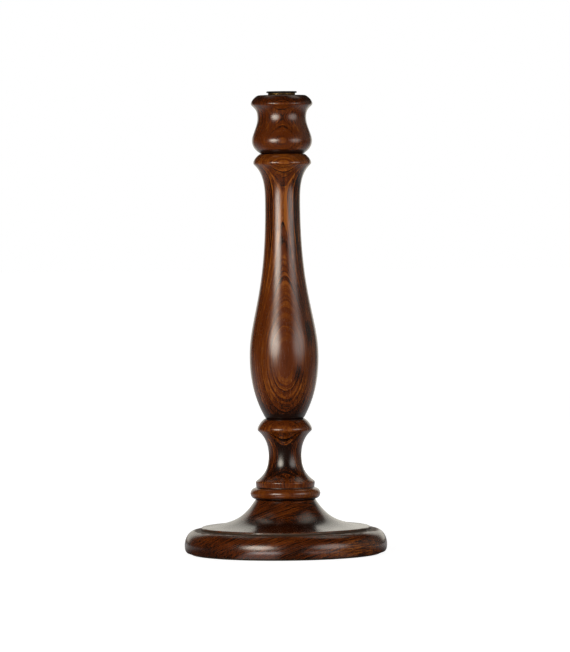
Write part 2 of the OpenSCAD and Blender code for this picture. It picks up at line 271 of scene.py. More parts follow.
def ramp(value, low, high, out_low=0.0, out_high=1.0, smooth=True):
    """A value taken from one range to another, held at its ends."""
    return output(value.tree, "ShaderNodeMapRange", {
        "Value": value, "From Min": low, "From Max": high, "To Min": out_low, "To Max": out_high}, "Result",
        interpolation_type="SMOOTHSTEP" if smooth else "LINEAR")


def blend_colours(factor, a, b):
    """Two colours, as Values or as red, green and blue, mixed by a factor."""
    a, b = (colour if isinstance(colour, Value) else (*colour, 1) for colour in (a, b))
    return output(factor.tree, "ShaderNodeMix", {0: factor, 6: a, 7: b}, 2, data_type="RGBA",
                  clamp_factor=True)


def new_tree(name, kind, inputs, outputs):
    """A node group with its sockets, listed as (name, type, default) and (name, type): the tree, the Values
    that come in, by name, and its end node."""
    tree = bpy.data.node_groups.new(name, kind)
    for label, socket, *default in inputs:
        made = tree.interface.new_socket(label, in_out="INPUT", socket_type=f"NodeSocket{socket}")
        if default:
            made.default_value = default[0]
    for label, socket in outputs:
        tree.interface.new_socket(label, in_out="OUTPUT", socket_type=f"NodeSocket{socket}")
    given = {socket.name: Value(socket) for socket in tree.nodes.new("NodeGroupInput").outputs}
    return tree, given, tree.nodes.new("NodeGroupOutput")


def use_group(tree, name, inputs):
    """The outputs, by name, of a shader node group placed in a material with its own values."""
    node = add_node(tree, "ShaderNodeGroup", inputs, node_tree=bpy.data.node_groups[name])
    return {socket.name: Value(socket) for socket in node.outputs}


def empty_tree(owner):
    """The emptied node tree of a material, a light or the world."""
    owner.use_nodes = True
    owner.node_tree.nodes.clear()
    return owner.node_tree


def new_material(name):
    """A node material with its tree and its Principled shader."""
    material = bpy.data.materials.new(name)
    tree = empty_tree(material)
    shader = add_node(tree, "ShaderNodeBsdfPrincipled")
    add_node(tree, "ShaderNodeOutputMaterial", {"Surface": Value(shader.outputs[0])})
    return material, tree, shader


def object_mm(tree):
    """The place on the lamp, in millimetres."""
    return scaled(output(tree, "ShaderNodeTexCoord", result="Object"), 1000, 1000, 1000)


def lathe_lines(place, pace, detail):
    """Fine rings round the z axis, as a lathe leaves them."""
    x, y, z = axes_of(place)
    return output(place.tree, "ShaderNodeTexNoise", {
        "Vector": vector_of((x ** 2.0 + y ** 2.0) ** 0.5, 0.0, z), "Scale": pace, "Detail": detail,
        "Roughness": 0.6}, noise_dimensions="3D")


# Shader node groups

FIGURE = ("Layer", "Late Line", "Streaks", "Grain Lines", "Fibres", "Pores", "Clouds")


def build_growth_group():
    """The timber's own figure. In its frame z runs along the fibres and y across the growth layers."""
    tree, given, end = new_tree("Timber Growth", "ShaderNodeTree", [
        ("Vector", "Vector"), ("Layer Width", "Float", 2.0), ("Pith Distance", "Float", 160.0),
        ("Wander", "Float", 5.0), ("Waviness", "Float", 1.5), ("Seed", "Float", 0.0)],
        [(name, "Float") for name in FIGURE])
    place, seed = given["Vector"], given["Seed"]
    x, y, _ = axes_of(place)
    broad = noise(place, (0.030, 0.030, 0.0085), 2, 0.45, seed)
    close = noise(place, (0.16, 0.16, 0.030), 3, 0.55, seed)
    bow = x ** 2.0 / (given["Pith Distance"] * 2.0)
    depth = (y + bow) + ((broad - 0.5) * given["Wander"] + (close - 0.5) * given["Waviness"])
    count = depth / given["Layer Width"]
    uneven = output(tree, "ShaderNodeTexNoise", {"W": count * 0.37 + seed, "Detail": 1.0},
                    noise_dimensions="1D")
    count = count + (uneven - 0.5) * 2.2
    phase = calc("FRACT", count)
    chance = output(tree, "ShaderNodeTexWhiteNoise", {"W": calc("FLOOR", count) + seed},
                    noise_dimensions="1D")
    line = calc("MAXIMUM", ramp(phase, 0.0, 0.14, 1, 0), ramp(phase, 0.50, 1.0, 0, 1)) * (chance * 0.9 + 0.25)
    streaks = noise(place, (0.60, 0.60, 0.013), 3, 0.6, seed)
    fibres = noise(place, (2.4, 2.4, 0.085), 3, 0.65, seed)
    grain = ramp(noise(place, (0.16, 1.9, 0.036), 2, 0.55, seed + 4.0), 0.42, 0.68)
    dashes = noise(place, (1.7, 1.7, 0.13), 2, 0.6, seed)
    pores = calc("MULTIPLY", ramp(dashes, 0.54, 0.68), line * 0.70 + 0.45, clamp=True)
    clouds = noise(place, (0.045, 0.045, 0.016), 3, 0.55, seed + 7.0)
    fill(end, dict(zip(FIGURE, (chance, line, streaks, grain, fibres, pores, clouds))))


def build_stain_group():
    """Stain and lacquer on the figure: the colour, the roughness and the height of the surface in mm. The
    colour is also darkened by painted shade: the Shade given, and in the hollows and at the joints.
    """
    _, given, end = new_tree("Stain and Lacquer", "ShaderNodeTree", [
        *((name, "Float") for name in FIGURE), ("Streak Depth", "Float", 0.9), ("Layer Depth", "Float", 0.7),
        ("Grain Depth", "Float", 0.3), ("Pore Depth", "Float", 0.3), ("Vector", "Vector"), ("Shade", "Float"),
        ("Contrast", "Float", 1.0), ("Rubbed", "Float"), ("Grimy", "Float"), ("Dark", "Color"),
        ("Mid", "Color"), ("Light", "Color")],
        [("Color", "Color"), ("Roughness", "Float"), ("Height", "Float")])
    place, pores, grime_and_shade = given["Vector"], given["Pores"], given["Grimy"]
    streaks = (given["Streaks"] - 0.5) * given["Streak Depth"] + (given["Fibres"] - 0.5) * 0.5
    layers = (given["Layer"] - 0.5) * 0.45 - (given["Late Line"] - 0.3)
    figure = streaks + layers * given["Layer Depth"] - (given["Grain Lines"] - 0.3) * given["Grain Depth"]
    patchy = noise(place, (0.035, 0.035, 0.02), 2, 0.5, 21.0)
    figure = figure * (given["Contrast"] * ramp(patchy, 0.3, 0.7, 0.75, 1.25))
    tone = figure + 0.5 + (given["Clouds"] - 0.5) * 0.35 - given["Shade"]
    # Painted shade in the hollows and at the joints, with some wax and dust there, darkens the tone
    tone = tone + (given["Rubbed"] * 0.26 - grime_and_shade * 0.75)
    body = blend_colours(ramp(tone, 0.50, 0.95), given["Mid"], given["Light"])
    body = blend_colours(ramp(tone, 0.02, 0.50), given["Dark"], body)
    sheen = noise(place, (0.10, 0.10, 0.10), 3, 0.6, 3.0)
    fill(end, {
        "Color": blend_colours(pores * given["Pore Depth"], body, given["Dark"]),
        "Roughness": ramp(sheen, 0.3, 0.7, 0.20, 0.26) + calc("MAXIMUM", pores, grime_and_shade) * 0.12,
        "Height": pores * -0.004 + given["Fibres"] * 0.002})


def build_edges_group():
    """Where hands and cloths have rubbed the edges, and painted shade, with some wax and dust, in the hollows
    and at the joints.
    """
    tree, given, end = new_tree("Worn Edges", "ShaderNodeTree", [("Vector", "Vector")],
                                [("Rubbed", "Float"), ("Grimy", "Float")])
    edge = output(tree, "ShaderNodeAttribute", result="Fac", attribute_name="edge")
    ragged = edge + (noise(given["Vector"], (0.16, 0.16, 0.16), 3, 0.6, 1.0) - 0.5) * 0.35
    fill(end, {"Rubbed": ramp(ragged, 0.22, 0.75) * ramp(edge, 0.05, 0.2),
               "Grimy": ramp(0.0 - edge, 0.12, 0.7)})


def build_tool_marks_group():
    """Faint rings left by the lathe and the sanding, as a height in mm."""
    _, given, end = new_tree("Tool Marks", "ShaderNodeTree", [
        ("Vector", "Vector"), ("Depth", "Float", 0.004)], [("Height", "Float")])
    fill(end, {"Height": lathe_lines(given["Vector"], 0.9, 3.0) * given["Depth"]})


def build_worn_metal_group():
    """Clean and dull metal in patches, with fine turning lines: masks of the dull part and of specks, and a
    height in mm."""
    _, given, end = new_tree("Worn Metal", "ShaderNodeTree", [
        ("Vector", "Vector"), ("Patch Size", "Float", 4.0), ("Seed", "Float", 0.0),
        ("Line Depth", "Float", 0.004)], [("Dull", "Float"), ("Specks", "Float"), ("Height", "Float")])
    place, patch, seed = given["Vector"], given["Patch Size"], given["Seed"]
    near = vector_calc("DIVIDE", place, vector_of(patch, patch, patch))
    specks = ramp(noise(near, 7, 2, 0.5, seed), 0.66, 0.74)
    fill(end, {"Dull": ramp(noise(near, 1, 5, 0.65, seed, 0.6), 0.38, 0.62), "Specks": specks,
               "Height": lathe_lines(place, 5.0, 2.0) * given["Line Depth"] + specks * -0.01})


# Materials

def bump(height_mm):
    """A normal from a height in millimetres."""
    return output(height_mm.tree, "ShaderNodeBump", {
        "Strength": 1.0, "Distance": 1.0, "Height": height_mm * MM})


def timber_material(name, finish, fibres, layers, offset, seed, tone, contrast, layer_width, wander, waviness,
                    streaks, layer_lines, grain, pores, shades, pith_distance=160.0, lively=(), dusty=()):
    """Stained and lacquered timber. fibres and layers are the directions, on the lamp, of the fibres and
    across the growth layers. offset moves the figure. tone makes it paler. Each shade is (centre, size,
    strength) of a darker patch, paler where the strength is below 0; some are figure in the timber and some
    are painted shade, noted where they are listed. Each lively stretch is (low, high, strength) of stronger
    figure. Each dusty place is (height, half height, radius, half radius) of old wax and dust in a groove."""
    material, tree, shader = new_material(name)
    place = object_mm(tree)
    height = axes_of(place)[2]
    along = Vector(fibres).normalized()
    across = (Vector(layers) - Vector(layers).dot(along) * along).normalized()
    turn = Matrix((across.cross(along), across, along)).to_euler("XYZ")
    growth = use_group(tree, "Timber Growth", {
        "Vector": output(tree, "ShaderNodeMapping", {
            "Vector": place, "Rotation": tuple(turn), "Location": offset}),
        "Layer Width": layer_width, "Pith Distance": pith_distance, "Wander": wander, "Waviness": waviness,
        "Seed": seed})
    torn = (noise(place, (0.60, 0.60, 0.045), 3, 0.7, seed + 3) - 0.5) * 2.2
    shade = -tone
    for centre, size, strength in shades:
        away = vector_calc("DIVIDE", vector_calc("SUBTRACT", place, centre), size)
        shade = shade + ramp(length(away) + torn, 0.3, 1.1, strength, 0)
    for low, high, strength in lively:
        soft = 0.25 * (high - low)
        here = ramp(height, low, low + soft) * ramp(height, high - soft, high, 1, 0)
        contrast = contrast + here * strength
    stain = use_group(tree, "Stain and Lacquer", {
        **growth, **use_group(tree, "Worn Edges", {"Vector": place}), "Vector": place, "Contrast": contrast,
        "Shade": shade, "Streak Depth": streaks, "Layer Depth": layer_lines, "Grain Depth": grain,
        "Pore Depth": pores, "Dark": (*finish.stain_dark, 1), "Mid": (*finish.stain_mid, 1),
        "Light": (*finish.stain_light, 1)})
    lathe = use_group(tree, "Tool Marks", {"Vector": place, "Depth": 0.002})
    colour, rough, coat = stain["Color"], stain["Roughness"], 0.25
    for middle, half_height, radius, half_radius in dusty:
        out = length(scaled(place, 1, 1, 0))
        away = calc("MAXIMUM", calc("ABSOLUTE", (height - middle) / half_height),
                    calc("ABSOLUTE", (out - radius) / half_radius))
        ragged = (noise(place, (0.14, 0.14, 0.5), 3, 0.6, 5.0) - 0.5) * 2.5
        dust = ramp(away + ragged, 0.5, 1.2, 1, 0)
        colour = blend_colours(dust * 0.45, colour, finish.dust)
        rough = calc("ADD", rough, dust * 0.4, clamp=True)
        coat = (1.0 - dust) * 0.25
    fill(shader, {"Base Color": colour, "Roughness": rough, "Normal": bump(stain["Height"] + lathe["Height"]),
                  "IOR": 1.5, "Coat Weight": coat, "Coat Roughness": 0.14})
    return material


def metal_material(name, clean, dull, specks, roughness, patch, seed, metallic=(1.0, 1.0)):
    """Turned or plated metal with dull patches and specks. roughness and metallic are for clean and dull."""
    material, tree, shader = new_material(name)
    worn = use_group(tree, "Worn Metal", {"Vector": object_mm(tree), "Patch Size": patch, "Seed": seed})
    colour = blend_colours(worn["Dull"], clean, dull)
    fill(shader, {
        "Base Color": blend_colours(worn["Specks"], colour, specks),
        "Roughness": ramp(worn["Dull"], 0, 1, *roughness, smooth=False),
        "Metallic": metallic[0] if metallic[0] == metallic[1] else ramp(
            worn["Dull"], 0, 1, *metallic, smooth=False),
        "Normal": bump(worn["Height"])})
    return material


def nylon_material(name, colour, seed):
    """Moulded nylon: a fine matt skin, slightly uneven in colour."""
    material, tree, shader = new_material(name)
    place = object_mm(tree)
    skin = noise(place, 6.0, 3, 0.6, seed)
    cloud = noise(place, 0.5, 2, 0.5, seed)
    lighter = [min(1, c * 1.5 + 0.01) for c in colour]
    fill(shader, {"Base Color": blend_colours(ramp(cloud, 0.3, 0.7), colour, lighter),
                  "Roughness": ramp(skin, 0.3, 0.7, 0.42, 0.58), "Normal": bump(skin * 0.02)})
    return material


def felt_material(name, colour):
    """Pressed wool felt: matted fibres with lint, and a soft sheen."""
    material, tree, shader = new_material(name)
    place = object_mm(tree)
    fuzz = calc("MAXIMUM", noise(place, (0.9, 3.2, 3.0), 4, 0.7, 1.0, 1.5),
                noise(place, (3.2, 0.9, 3.0), 4, 0.7, 6.0, 1.5))
    lint = ramp(noise(place, (0.5, 2.4, 1.0), 2, 0.5, 10.0, 2.0), 0.68, 0.76)
    tone = fuzz * 0.75 + noise(place, 0.06, 3, 0.55, 1.0) * 0.35
    dark, pale = [c * 0.55 for c in colour], [min(1, c * 1.7) for c in colour]
    wool = blend_colours(ramp(tone, 0.35, 0.85), dark, pale)
    fill(shader, {"Base Color": blend_colours(lint * 0.35, wool, (0.35, 0.31, 0.27)), "Roughness": 0.95,
                  "Sheen Weight": 0.45, "Sheen Roughness": 0.5, "Normal": bump(fuzz * 0.22)})
    return material


# Helpers for objects

def add_object(name, data):
    """A new object in the scene, at the origin."""
    made = bpy.data.objects.new(name, data)
    bpy.context.scene.collection.objects.link(made)
    return made


def plain_mesh(thing, modifier):
    """The mesh that an object has with its modifier, which is then removed."""
    bpy.context.view_layer.update()
    mesh = bpy.data.meshes.new_from_object(thing.evaluated_get(bpy.context.evaluated_depsgraph_get()))
    thing.modifiers.remove(modifier)
    return mesh


# Geometry node trees

def wind_round(sheet, radius, angle, height, weld, finish, end):
    """Winds a flat sheet round the z axis, welds the points that meet, and sends it out in its finish."""
    tree = sheet.tree
    place = vector_of(radius * calc("COSINE", angle), radius * calc("SINE", angle), height)
    wound = output(tree, "GeometryNodeSetPosition", {"Geometry": sheet, "Position": place})
    welded = output(tree, "GeometryNodeMergeByDistance", {"Geometry": wound, "Distance": weld})
    whole = output(tree, "GeometryNodeRealizeInstances", {"Geometry": welded})
    fill(end, {0: output(tree, "GeometryNodeSetMaterial", {"Geometry": whole, "Material": finish})})


def build_turning_tree():
    """Turns an outline about the z axis: a closed ring of points with x as the radius and z as the height."""
    tree, given, end = new_tree("Turning", "GeometryNodeTree", [
        ("Outline", "Geometry"), ("Steps Around", "Int", 256), ("Finish", "Material")],
        [("Turned Piece", "Geometry")])
    tree.is_modifier = True
    ring, steps = given["Outline"], given["Steps Around"]
    points = output(tree, "GeometryNodeAttributeDomainSize", {"Geometry": ring})
    rows = points + 1.0
    sheet = output(tree, "GeometryNodeMeshGrid", {"Vertices X": steps + 1.0, "Vertices Y": rows})
    index = output(tree, "GeometryNodeInputIndex")
    column = calc("FLOOR", (index + 0.5) / rows)
    row = calc("MODULO", index - column * rows, points)

    def on_outline(value, kind):
        """A value of the outline, read at this row's point."""
        return output(tree, "GeometryNodeSampleIndex", {"Geometry": ring, "Value": value, "Index": row},
                      data_type=kind, domain="POINT")

    radius, _, height = axes_of(on_outline(output(tree, "GeometryNodeInputPosition"), "FLOAT_VECTOR"))
    edge = output(tree, "GeometryNodeInputNamedAttribute", {"Name": "edge"}, data_type="FLOAT")
    noted = output(tree, "GeometryNodeStoreNamedAttribute", {
        "Geometry": sheet, "Name": "edge", "Value": on_outline(edge, "FLOAT")}, data_type="FLOAT",
        domain="POINT")
    wind_round(noted, radius, column / steps * math.tau, height, SAME_POINT, given["Finish"], end)


def build_thread_tree():
    """A screw thread's ridge, wound as a three-sided bar that fades out at both ends."""
    tree, given, end = new_tree("Screw Thread", "GeometryNodeTree", [
        ("Geometry", "Geometry"), ("Root Radius", "Float", 0.005), ("Crest Radius", "Float", 0.0045),
        ("Pitch", "Float", 0.001), ("Low End", "Float", 0.0), ("Turns", "Float", 5.0),
        ("Steps per Turn", "Int", 32), ("Finish", "Material")], [("Thread", "Geometry")])
    tree.is_modifier = True
    root, pitch, turns = given["Root Radius"], given["Pitch"], given["Turns"]
    steps = calc("ROUND", turns * given["Steps per Turn"])
    sheet = output(tree, "GeometryNodeMeshGrid", {"Vertices X": steps + 1.0, "Vertices Y": 4})
    index = output(tree, "GeometryNodeInputIndex")
    step = calc("FLOOR", (index + 0.5) / 4.0)
    side = calc("MODULO", index - step * 4.0, 3.0)
    wound = step / given["Steps per Turn"]
    fade = calc("MULTIPLY", calc("MINIMUM", wound, turns - wound), 2.0, clamp=True)
    radius = root + (given["Crest Radius"] - root) * (calc("COMPARE", side, 1.0, 0.1) * fade)
    height = given["Low End"] + (side - 1.0) * (pitch * 0.46 * fade) + wound * pitch
    wind_round(sheet, radius, wound * math.tau, height, SAME_POINT / 10, given["Finish"], end)


def run_tree(tree_name, mesh, values):
    """The plain mesh that a geometry node tree makes from a mesh, with its inputs set by name."""
    holder = add_object(tree_name, mesh)
    tree = bpy.data.node_groups[tree_name]
    modifier = holder.modifiers.new(tree_name, "NODES")
    modifier.node_group = tree
    for item in tree.interface.items_tree:
        if item.item_type == "SOCKET" and item.in_out == "INPUT" and item.name in values:
            modifier[item.identifier] = values[item.name]
    made = plain_mesh(holder, modifier)
    bpy.data.objects.remove(holder)
    return made


# Meshes of the pieces

def new_piece(name, mesh, slot, *nodes):
    """A finished piece: it rides on the lamp and stands for the CAD nodes named. slot is not used."""
    piece = add_object(name, mesh)
    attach(piece, BODY)
    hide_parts(*nodes)
    return piece


def half_section(node):
    """The closed outline [(radius, height), ...] of a turned node, read on a half-plane through its axis."""
    bm = bmesh.new()
    bm.from_mesh(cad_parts[node].data)
    bmesh.ops.remove_doubles(bm, verts=bm.verts, dist=SAME_POINT)
    rings = sorted({(round(math.hypot(v.co.x, v.co.y), 7), round(v.co.z, 7)) for v in bm.verts})
    side = Vector((math.cos(math.radians(CUT_BEARING)), math.sin(math.radians(CUT_BEARING)), 0))
    bmesh.ops.bisect_plane(bm, geom=bm.verts[:] + bm.edges[:] + bm.faces[:], dist=SAME_POINT / 10,
                           plane_co=(0, 0, 0), plane_no=(-side.y, side.x, 0), clear_inner=True,
                           clear_outer=True)
    ring_of = {}
    for v in bm.verts:
        here = (v.co.dot(side), v.co.z)
        if here[0] > 0:
            nearest = min(rings, key=lambda ring: math.dist(ring, here))
            ring_of[v] = nearest if math.dist(nearest, here) < RING_REACH else None
    if len(ring_of) < 3:
        raise RuntimeError(f"{node} gives no outline on the half-plane")
    ordered, seen, here = [], set(), next(iter(ring_of))
    while here and here not in seen:
        seen.add(here)
        if ring_of[here] and (not ordered or ordered[-1] != ring_of[here]):
            ordered.append(ring_of[here])
        beyond = [e.other_vert(here) for e in here.link_edges]
        here = next((v for v in beyond if v not in seen and v in ring_of), None)
    bm.free()
    if ordered[0] == ordered[-1]:
        ordered.pop()
    area = sum(a[0] * b[1] - b[0] * a[1] for a, b in zip(ordered, ordered[1:] + ordered[:1]))
    return ordered if area > 0 else ordered[::-1]


def corner_angle(a, b, c):
    """How far, in degrees, the way from a to b turns at b on its way to c."""
    first, second = Vector(b) - Vector(a), Vector(c) - Vector(b)
    return math.degrees(abs(first.angle_signed(second, 0))) if first.length and second.length else 0.0


def smooth_outline(points, softness, error, seams):
    """The outline as smooth curves between its sharp corners, with the corners softened, in as few points as
    keep it within the error given: [(radius, height, measure of the edge), ...]."""
    n = len(points)
    corners = [corner_angle(points[i - 1], points[i], points[(i + 1) % n]) > SHARP_CORNER for i in range(n)]
    dense = []
    for i in range(n):
        p0, p1, p2, p3 = (Vector(points[(i + k) % n]) for k in (-1, 0, 1, 2))
        run = (p2 - p1).length
        if corners[i]:
            p0 = p1 - (p2 - p1)
        if corners[(i + 1) % n]:
            p3 = p2 + (p2 - p1)
        before, after = max((p1 - p0).length, 1e-9), max((p3 - p2).length, 1e-9)
        lead = ((p2 - p1) / run + (p1 - p0) / before).normalized() * run
        trail = ((p3 - p2) / after + (p2 - p1) / run).normalized() * run
        count = max(1, round(run / OUTLINE_STEP))
        for t in (k / count for k in range(count)):
            t2, t3 = t * t, t * t * t
            dense.append(p1.lerp(p2, t) if run > STRAIGHT_RUN else (
                (2 * t3 - 3 * t2 + 1) * p1 + (t3 - 2 * t2 + t) * lead
                + (3 * t2 - 2 * t3) * p2 + (t3 - t2) * trail))
    for _ in range(max(1, round((softness / OUTLINE_STEP) ** 2 * 6))):
        dense = [dense[i] * 0.5 + (dense[i - 1] + dense[(i + 1) % len(dense)]) * 0.25
                 for i in range(len(dense))]
    kept, i = [0], 0
    while i < len(dense):
        reach = 1
        while i + reach + 1 <= len(dense) and (reach + 1) * OUTLINE_STEP < LONGEST_FACET:
            chord = dense[(i + reach + 1) % len(dense)] - dense[i]
            across = Vector((-chord.y, chord.x)).normalized()
            passed = (dense[(i + k) % len(dense)] - dense[i] for k in range(1, reach + 1))
            if any(abs(away.dot(across)) > error for away in passed):
                break
            reach += 1
        i += reach
        if i < len(dense):
            kept.append(i)
    return [(dense[i].x, dense[i].y, edge_measure(dense, i, seams)) for i in kept]


def edge_measure(points, i, seams):
    """How convex (above 0) or hollow (below 0) a ring of points is at one of them, from -1 to 1. The line
    where the piece meets another counts as hollow."""
    before = points[i] - points[i - EDGE_REACH]
    after = points[(i + EDGE_REACH) % len(points)] - points[i]
    measure = max(-1.0, min(1.0, -before.angle_signed(after, 0) / math.radians(60)))
    # Near a joint the measure turns hollow, so that painted shade and grime gather there
    for height, (below, above) in seams:
        off = points[i].y - height
        near = 1 - (off / above if off > 0 else -off / below)
        if near > 0:
            measure = min(measure, 0.0) * (1 - near) - near
    return measure


def outline_mesh(points):
    """An outline as a ring of points joined by edges, in the x z plane, with the measure of its edges."""
    mesh = bpy.data.meshes.new("outline")
    n = len(points)
    mesh.from_pydata([(r, 0, z) for r, z, edge in points], [(i, (i + 1) % n) for i in range(n)], [])
    mesh.attributes.new("edge", "FLOAT", "POINT").data.foreach_set("value", [edge for r, z, edge in points])
    return mesh


def smooth_faces(mesh):
    """Shades every face of a mesh smooth."""
    for polygon in mesh.polygons:
        polygon.use_smooth = True


def turned_mesh(outline, fineness, material):
    """A closed outline turned about the z axis by the Turning tree, with its faces outwards."""
    steps = round(fineness * bpy.context.scene.lamp_turning.steps_around)
    mesh = run_tree("Turning", outline_mesh(outline), {"Steps Around": steps, "Finish": material})
    bm = bmesh.new()
    bm.from_mesh(mesh)
    bmesh.ops.recalc_face_normals(bm, faces=bm.faces)
    if bm.calc_volume(signed=True) < 0:
        bmesh.ops.reverse_faces(bm, faces=bm.faces)
    bm.to_mesh(mesh)
    bm.free()
    mesh.set_sharp_from_angle(angle=CRISP_EDGE)
    smooth_faces(mesh)
    return mesh


def drill(piece, near_y, far_y, radius, height):
    """Bores a round hole along y through a piece."""
    mesh = bpy.data.meshes.new("drill")
    bm = bmesh.new()
    place = Matrix.Translation((0, (near_y + far_y) / 2, height)) @ Matrix.Rotation(math.radians(90), 4, "X")
    bmesh.ops.create_cone(bm, cap_ends=True, segments=64, radius1=radius, radius2=radius,
                          depth=far_y - near_y, matrix=place)
    bm.to_mesh(mesh)
    bm.free()
    cutter = add_object("drill", mesh)
    modifier = piece.modifiers.new("drill", "BOOLEAN")
    modifier.operation, modifier.object, modifier.solver = "DIFFERENCE", cutter, "EXACT"
    piece.data = plain_mesh(piece, modifier)
    bpy.data.objects.remove(cutter)


def turned_piece(name, node, slot, material, fineness=1, softness=None, bore=0.0):
    """A smooth piece turned from a CAD node's own outline, which it stands for. bore is its least radius, and
    fineness multiplies the steps around."""
    settings = bpy.context.scene.lamp_turning
    outline = smooth_outline([(max(r, bore), z) for r, z in half_section(node)],
                             settings.edge_softness if softness is None else softness,
                             settings.outline_error,
                             [(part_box(below)[1].z, reach) for below, reach in SEAMS.items()])
    return new_piece(name, turned_mesh(outline, fineness, material), slot, node)


def wind_thread(piece, low_end):
    """Winds the thread's ridge in a piece's tapped hole, with the Screw Thread tree."""
    ridge = run_tree("Screw Thread", bpy.data.meshes.new("thread"), {
        "Low End": low_end, "Turns": THREAD_TURNS, "Root Radius": THREAD_ROOT, "Crest Radius": THREAD_CREST,
        "Pitch": THREAD_PITCH, "Finish": piece.data.materials[0]})
    bm = bmesh.new()
    bm.from_mesh(ridge)
    bm.faces.ensure_lookup_table()
    side = bm.faces[len(bm.faces) // 2]
    middle = side.calc_center_median()
    if side.normal.dot(Vector((middle.x, middle.y, 0))) > 0:
        bmesh.ops.reverse_faces(bm, faces=bm.faces)
    for face in bm.faces:
        face.smooth = True
    bm.from_mesh(piece.data)
    bm.to_mesh(piece.data)
    bm.free()


def bush_sizes():
    """The flex bush's height, the radius of its body, where its flange starts along y, and its flange's
    radius."""
    low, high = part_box("flex_bush")
    height = (low.z + high.z) / 2
    section = {(round(math.hypot(v.co.x, v.co.z - height), 6), round(v.co.y, 6))
               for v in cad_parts["flex_bush"].data.vertices}
    body = max(r for r, along in section if along < low.y + 5 * MM)
    flange_start = min(along for r, along in section if r > body + 0.5 * MM)
    return height, body, flange_start, (high.z - low.z) / 2


def felt_outline(radius, low, high, corner, steps=6):
    """The outline of a flat disc with rounded edges, from the axis out along the underside and back."""
    inner = radius - corner - 0.5 * MM
    points = [(0, low), (inner, low)]
    for middle, start in ((low + corner, -90), (high - corner, 0)):
        for k in range(steps + 1):
            angle = math.radians(start + 90 * k / steps)
            points.append((radius - corner + corner * math.cos(angle), middle + corner * math.sin(angle)))
    return [(r, z, 0.0) for r, z in (*points, (inner, high), (0, high))]


# The stage

def set_camera(stage):
    """A long lens, level with the lamp's neck, rolled as the photograph is."""
    data = bpy.data.cameras.new("camera")
    data.sensor_fit = "AUTO"
    data.sensor_width = 36.0
    data.lens = stage.focal_px * data.sensor_width / PICTURE_HEIGHT
    data.clip_end = 60
    data.dof.use_dof = False
    camera = add_object("camera", data)
    place = Vector((stage.aim[0], -stage.camera_distance, stage.camera_height))
    look = (Vector(stage.aim) - place).to_track_quat("-Z", "Y").to_matrix().to_4x4()
    camera.matrix_world = Matrix.Translation(place) @ look @ Matrix.Rotation(-stage.roll, 4, "Z")
    bpy.context.scene.camera = camera


def add_light(name, power, bearing, distance, height, width, tall, colour=(1, 1, 1), matt_only=False):
    """A soft box. Its bearing is in degrees to the right of the camera, as seen from the lamp, and it faces
    the lamp's axis at its own height. It fades to its edges, unless it is matt only: then it is even, lights
    the colour and leaves no highlight."""
    data = bpy.data.lights.new(name, "AREA")
    data.shape, data.size, data.size_y, data.energy, data.color = "RECTANGLE", width, tall, power, colour
    light = add_object(name, data)
    angle = math.radians(bearing)
    place = Vector((distance * math.sin(angle), -distance * math.cos(angle), height))
    inwards = Vector((0, 0, height)) - place
    light.matrix_world = Matrix.Translation(place) @ inwards.to_track_quat("-Z", "Y").to_matrix().to_4x4()
    light.visible_glossy = not matt_only
    if not matt_only:
        tree = empty_tree(data)
        across = output(tree, "ShaderNodeNewGeometry", result="Parametric")
        off = length(scaled(vector_calc("SUBTRACT", across, (0.5, 0.5, 0)), 2, 2, 0))
        glow = output(tree, "ShaderNodeEmission", {"Strength": ramp(off, 0.3, 1, 0.8, 0)})
        add_node(tree, "ShaderNodeOutputLight", {"Surface": glow})


def seen_by_camera_or_mirror(tree):
    """The camera's own view, and the view in a glossy surface, as 1 or 0."""
    path = add_node(tree, "ShaderNodeLightPath").outputs
    mirror = calc("MAXIMUM", Value(path["Is Glossy Ray"]), Value(path["Is Transmission Ray"]))
    return Value(path["Is Camera Ray"]), mirror


def patch_of_light(heading, centre, breadth, strength=1.0):
    """A round soft patch of the headings. It fades to nothing where the cosine of the angle from its centre
    is breadth."""
    centre = tuple(Vector(centre).normalized())
    return ramp(vector_calc("DOT_PRODUCT", heading, centre, result="Value"), breadth, 0.995, 0, strength)


def stage_sheet(name, material_name, corners):
    """A four-cornered sheet of the stage, and the empty node tree of its material."""
    mesh = bpy.data.meshes.new(name)
    mesh.from_pydata(corners, [], [(0, 1, 2, 3)])
    mesh.materials.append(bpy.data.materials.new(material_name))
    return add_object(name, mesh), empty_tree(mesh.materials[0])


def add_card(distance, half_width, low, high, strength):
    """A lit white card behind the lamp, which only the lacquer and the metal mirror. Its edges are soft."""
    card, tree = stage_sheet("card", "lit_card", [
        (-half_width, distance, low), (half_width, distance, low), (half_width, distance, high),
        (-half_width, distance, high)])
    across, _, up = axes_of(output(tree, "ShaderNodeTexCoord", result="Object"))
    sides = ramp(calc("ABSOLUTE", across), 0.6 * half_width, half_width, 1, 0)
    ends = ramp(up, low, low + 0.03) * ramp(up, high - 0.14, high, 1, 0)
    lit = sides * ends * ramp(across, -0.1, 0.1, 0.85 * strength, strength)
    glow = output(tree, "ShaderNodeEmission", {"Color": (1.0, 0.96, 0.86, 1), "Strength": lit})
    clear = output(tree, "ShaderNodeBsdfTransparent")
    either = output(tree, "ShaderNodeMixShader", {0: seen_by_camera_or_mirror(tree)[1], 1: clear, 2: glow})
    add_node(tree, "ShaderNodeOutputMaterial", {"Surface": either})


